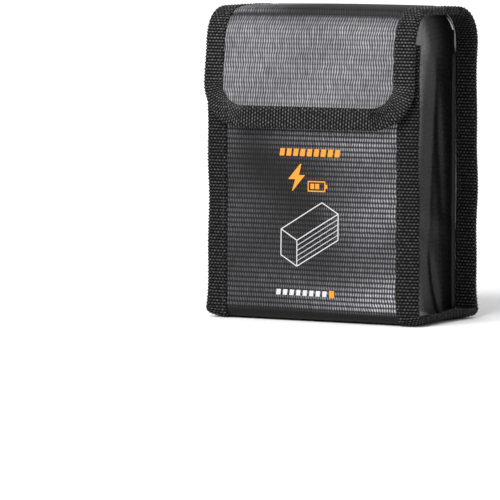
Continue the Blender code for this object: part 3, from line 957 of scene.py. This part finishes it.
class SAFEBAG_OT_divider(SafeBagOperator):
    """Make the divider between the two compartments"""
    bl_idname = "safe_bag.divider"
    bl_label = "Divider"

    def execute(self, context):
        front = corner("divider", 0)
        back = corner("divider", 1)
        y, z = np.meshgrid(np.linspace(front[1] + 0.8, back[1] - 0.8, 60),
                           np.linspace(front[2] + 1.5, back[2], 90))

        def place(y, z, depth):
            hem = 0.35 * smooth((z - back[2] + 6.0) / 0.6)
            wave = 1.5 * np.sin(y / 9.0 + z / 31.0) * smooth((z - 20.0) / 80.0)
            wave = wave * np.sin(math.pi * np.clip((y - front[1]) / (back[1] - front[1]), 0.0, 1.0))
            return np.stack([wave + (depth - 0.3) * (1.0 + hem * 3.0), y, z], axis=-1)

        piece = plain_sheet("divider_cloth", place, y, z, 0.0 * y, 0.6, MATERIALS["silver_lining_cloth"])
        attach(piece, "bag")
        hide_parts("divider")
        edge = np.array([[front[1] + 1.0, back[2] - 5.0], [back[1] - 1.0, back[2] - 5.0]])
        inward = np.array([[0.0, 1.0]] * 2)
        for face, height in (("left", -0.3), ("right", 0.9)):
            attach(thread_run(f"divider_{face}_stitches", place, edge, inward, 0.0, height), "bag")
        return {"FINISHED"}


class SAFEBAG_OT_closures(SafeBagOperator):
    """Make the loop strip on the front wall and the hook strip inside the closing flap"""
    bl_idname = "safe_bag.closures"
    bl_label = "Hook and loop strips"

    def execute(self, context):
        low = corner("loop_strip", 0)
        high = corner("loop_strip", 1)
        columns, rows = 240, 80
        x, s = np.meshgrid(np.linspace(low[0], high[0], columns),
                           np.linspace(MOUTH - high[2], MOUTH - low[2], rows))
        i, j = np.meshgrid(np.arange(columns), np.arange(rows))
        pile = 0.28 * scatter(i, j, 3.0) + 0.2 * scatter(i // 4, j // 4, 5.0)
        rim = np.minimum(smooth(i / 3.0), smooth((columns - 1 - i) / 3.0))
        rim = rim * np.minimum(smooth(j / 3.0), smooth((rows - 1 - j) / 3.0))
        rings = sheet_rings(on_strip, x, s, 0.55 - (0.25 + pile) * rim, CLOTH_DEPTH - 0.22)
        weave = sheet_weave(x, s, pile)
        loop = make_piece("loop_pile_strip", rings, closed_loft(rings), MATERIALS["loop_pile"],
                          weave)
        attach(loop, "bag")
        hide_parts("loop_strip")

        low = corner("hook_strip", 0)
        high = corner("hook_strip", 1)
        start = S_HANG + ARCH_Z - high[2]
        end = S_HANG + ARCH_Z - low[2]
        x, s = np.meshgrid(np.linspace(low[0], high[0], 60), np.linspace(start, end, 16))
        base = plain_sheet("hook_strip_base", on_strip, x, s, 0.0 * x + STACK - 0.8, STACK - 0.45,
                           MATERIALS["moulded_nylon_hooks"])
        hooks = self.hooks(low[0] + 0.8, high[0] - 0.8, start + 0.8, end - 0.8)
        for piece in (base, hooks):
            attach(piece, "closing_flap")
        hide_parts("hook_strip")
        return {"FINISHED"}

    @staticmethod
    def hooks(x0, x1, s0, s1):
        """Rows of small hooks: each is a square bar carried up and over in five steps."""
        pitch = 1.45
        x, s = (v.ravel() for v in np.meshgrid(np.arange(x0, x1, pitch), np.arange(s0, s1, pitch)))
        turn = np.radians([0.0, 0.0, 60.0, 120.0, 170.0])
        up = np.array([0.0, 0.22, 0.42, 0.5, 0.42])
        over = np.array([0.0, 0.0, 0.07, 0.2, 0.32])
        wide = np.array([0.16, 0.13, 0.12, 0.11, 0.08])
        side = np.array([-1.0, 1.0, 1.0, -1.0]) * wide[:, None]
        thick = np.array([-1.0, -1.0, 1.0, 1.0]) * wide[:, None]
        along = over[:, None] + thick * np.cos(turn)[:, None]
        rise = up[:, None] - thick * np.sin(turn)[:, None]
        facing = np.where(np.arange(len(s)) % 2 == 0, 1.0, -1.0)[:, None, None]
        p = x[:, None, None] + side
        q = s[:, None, None] + along * facing
        points = on_strip(p, q, STACK - 0.5 + rise + 0.0 * p)
        one = np.concatenate([tube(5, 4), [[3, 2, 1, 0], [16, 17, 18, 19]]])
        faces = one[None] + (np.arange(len(x)) * 20)[:, None, None]
        faces[1::2] = faces[1::2, :, ::-1]
        return make_piece("hooks", points, faces.reshape(-1, 4), MATERIALS["moulded_nylon_hooks"],
                          crease=30.0)


class SAFEBAG_OT_print(SafeBagOperator):
    """Print the front with plain generic marks: strokes, a bolt, a battery and bars"""
    bl_idname = "safe_bag.print"
    bl_label = "Front print"

    def execute(self, context):
        orange = [self.bar(left, 77.2, left + 2.5, 80.6, 0.5) for left in -16.2 + 3.65 * np.arange(9)]
        bolt = self.fill([(-5.0, 73.6), (-11.4, 66.4), (-7.6, 66.4), (-9.4, 61.0)],
                         [(-4.4, 73.6), (-5.6, 68.4), (-2.4, 68.4), (-9.0, 61.0)])
        orange += [bolt] + self.box_outline(-0.6, 61.2, 8.2, 65.6, 0.55)
        orange += [self.bar(*bar, 0.0) for bar in ((8.5, 62.5, 9.5, 64.3), (0.6, 62.2, 2.6, 64.6),
                                                   (3.2, 62.2, 5.2, 64.6), (10.8, 12.0, 13.5, 15.4))]
        white = self.battery()
        white += [self.bar(left, 12.4, left + 2.3, 15.0, 0.4) for left in -18.3 + 3.6 * np.arange(8)]
        self.ink("white_print", white, MATERIALS["white_screen_ink"])
        self.ink("orange_print", orange, MATERIALS["orange_screen_ink"])
        return {"FINISHED"}

    @staticmethod
    def bar(x0, z0, x1, z1, slant):
        """A filled bar as two edges from bottom to top, its top moved over by slant."""
        return np.array([[(x0, z0), (x0 + slant, z1)], [(x1, z0), (x1 + slant, z1)]])

    @staticmethod
    def fill(left, right):
        """A filled shape between two edges with the same number of points."""
        return np.array([left, right])

    @staticmethod
    def stroke(points, width):
        """A line of even width through points: each point is moved half the width to
        either side along the bisector of its two neighbours."""
        line = np.array(points, float)
        way = np.gradient(line, axis=0)
        way /= np.hypot(way[:, 0], way[:, 1])[:, None]
        off = np.stack([-way[:, 1], way[:, 0]], axis=-1) * width / 2.0
        return np.stack([line + off, line - off])

    def box_outline(self, x0, z0, x1, z1, width):
        """The four sides of a box, the level ones long enough to fill the corners."""
        h = width / 2.0
        sides = (((x0 - h, z0), (x1 + h, z0)), ((x0 - h, z1), (x1 + h, z1)),
                 ((x0, z0), (x0, z1)), ((x1, z0), (x1, z1)))
        return [self.stroke(side, width) for side in sides]

    def battery(self):
        """A plain block in line: a box in textbook isometric view with even ribs along its
        long side."""
        slope = math.radians(30.0)
        length, depth, height, ribs = 26.0, 10.0, 12.0, 4
        along = length * np.array((math.cos(slope), math.sin(slope)))
        back = depth * np.array((-math.cos(slope), math.sin(slope)))
        up = np.array((0.0, height))
        foot = np.array((-7.0, 26.0))
        top = foot + up
        edges = [(foot, top), (foot, foot + along), (foot, foot + back), (top, top + along),
                 (top, top + back), (foot + along, top + along), (foot + back, top + back),
                 (top + along, top + along + back), (top + back, top + along + back)]
        steps = [up * k / (ribs + 1) for k in range(1, ribs + 1)]
        lines = [(foot + step, foot + along + step) for step in steps]
        return [self.stroke([p, (p + q) / 2.0, q], width)
                for group, width in ((edges, 0.45), (lines, 0.28)) for p, q in group]

    @staticmethod
    def ink(name, marks, material):
        """Each mark is a thin raised film on the front cloth: its two edges are cut into
        short steps, so that the film follows the cloth's swelling."""
        points, faces, total = [], [], 0
        for mark in marks:
            left, right = mark
            rows = []
            for k in range(len(left) - 1):
                reach = max(np.hypot(*(left[k + 1] - left[k])), 0.1)
                t = np.linspace(0.0, 1.0, max(2, int(reach / 1.2) + 1))[(0 if k == 0 else 1):, None]
                rows.append(np.concatenate([left[k] + (left[k + 1] - left[k]) * t,
                                            right[k] + (right[k + 1] - right[k]) * t], axis=1))
            rows = np.concatenate(rows)
            cols = max(2, int(np.hypot(*(rows[0, :2] - rows[0, 2:])) / 1.0) + 2)
            w = np.linspace(0.0, 1.0, cols)[None, :]
            x = rows[:, :1] * (1.0 - w) + rows[:, 2:3] * w
            z = rows[:, 1:2] * (1.0 - w) + rows[:, 3:] * w
            rings = sheet_rings(on_strip, x, MOUTH - z, 0.0 * x + CLOTH_DEPTH - 0.3, CLOTH_DEPTH - 0.1)
            own, flat = closed_loft(rings), rings.reshape(-1, 3)
            faces.append((own[:, ::-1] if inside_out(flat, own) else own) + total)
            points.append(flat)
            total += len(flat)
        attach(make_piece(name, np.concatenate(points), np.concatenate(faces), material), "bag")


class SAFEBAG_PT_panel(bpy.types.Panel):
    """Sidebar panel with the bag's settings and its steps in order"""
    bl_idname = "SAFEBAG_PT_panel"
    bl_label = "Safe bag"
    bl_space_type = "VIEW_3D"
    bl_region_type = "UI"
    bl_category = "Safe bag"

    def draw(self, context):
        for group in ("safe_bag_cloth", "safe_bag_tape", "safe_bag_inside", "safe_bag_stage"):
            settings = getattr(context.scene, group)
            box = self.layout.box()
            for key in settings.__annotations__:
                box.prop(settings, key)
        for step in STEPS:
            self.layout.operator(step.bl_idname)


GROUPS = {"safe_bag_cloth": SafeBagCloth, "safe_bag_tape": SafeBagTape,
          "safe_bag_inside": SafeBagInside, "safe_bag_stage": SafeBagStage}
STEPS = (SAFEBAG_OT_stage, SAFEBAG_OT_finishes, SAFEBAG_OT_outer_cloth, SAFEBAG_OT_lining,
         SAFEBAG_OT_tapes, SAFEBAG_OT_gussets, SAFEBAG_OT_divider, SAFEBAG_OT_closures, SAFEBAG_OT_print)


def register():
    for group in GROUPS.values():
        bpy.utils.register_class(group)
    for step in STEPS:
        bpy.utils.register_class(step)
    bpy.utils.register_class(SAFEBAG_PT_panel)
    for name, group in GROUPS.items():
        setattr(bpy.types.Scene, name, bpy.props.PointerProperty(type=group))


def unregister():
    for name in GROUPS:
        delattr(bpy.types.Scene, name)
    bpy.utils.unregister_class(SAFEBAG_PT_panel)
    for step in reversed(STEPS):
        bpy.utils.unregister_class(step)
    for group in reversed(list(GROUPS.values())):
        bpy.utils.unregister_class(group)


def main():
    register()
    for step in STEPS:
        folder, name = step.bl_idname.split(".")
        getattr(getattr(bpy.ops, folder), name)()


if __name__ == "__main__":
    main()
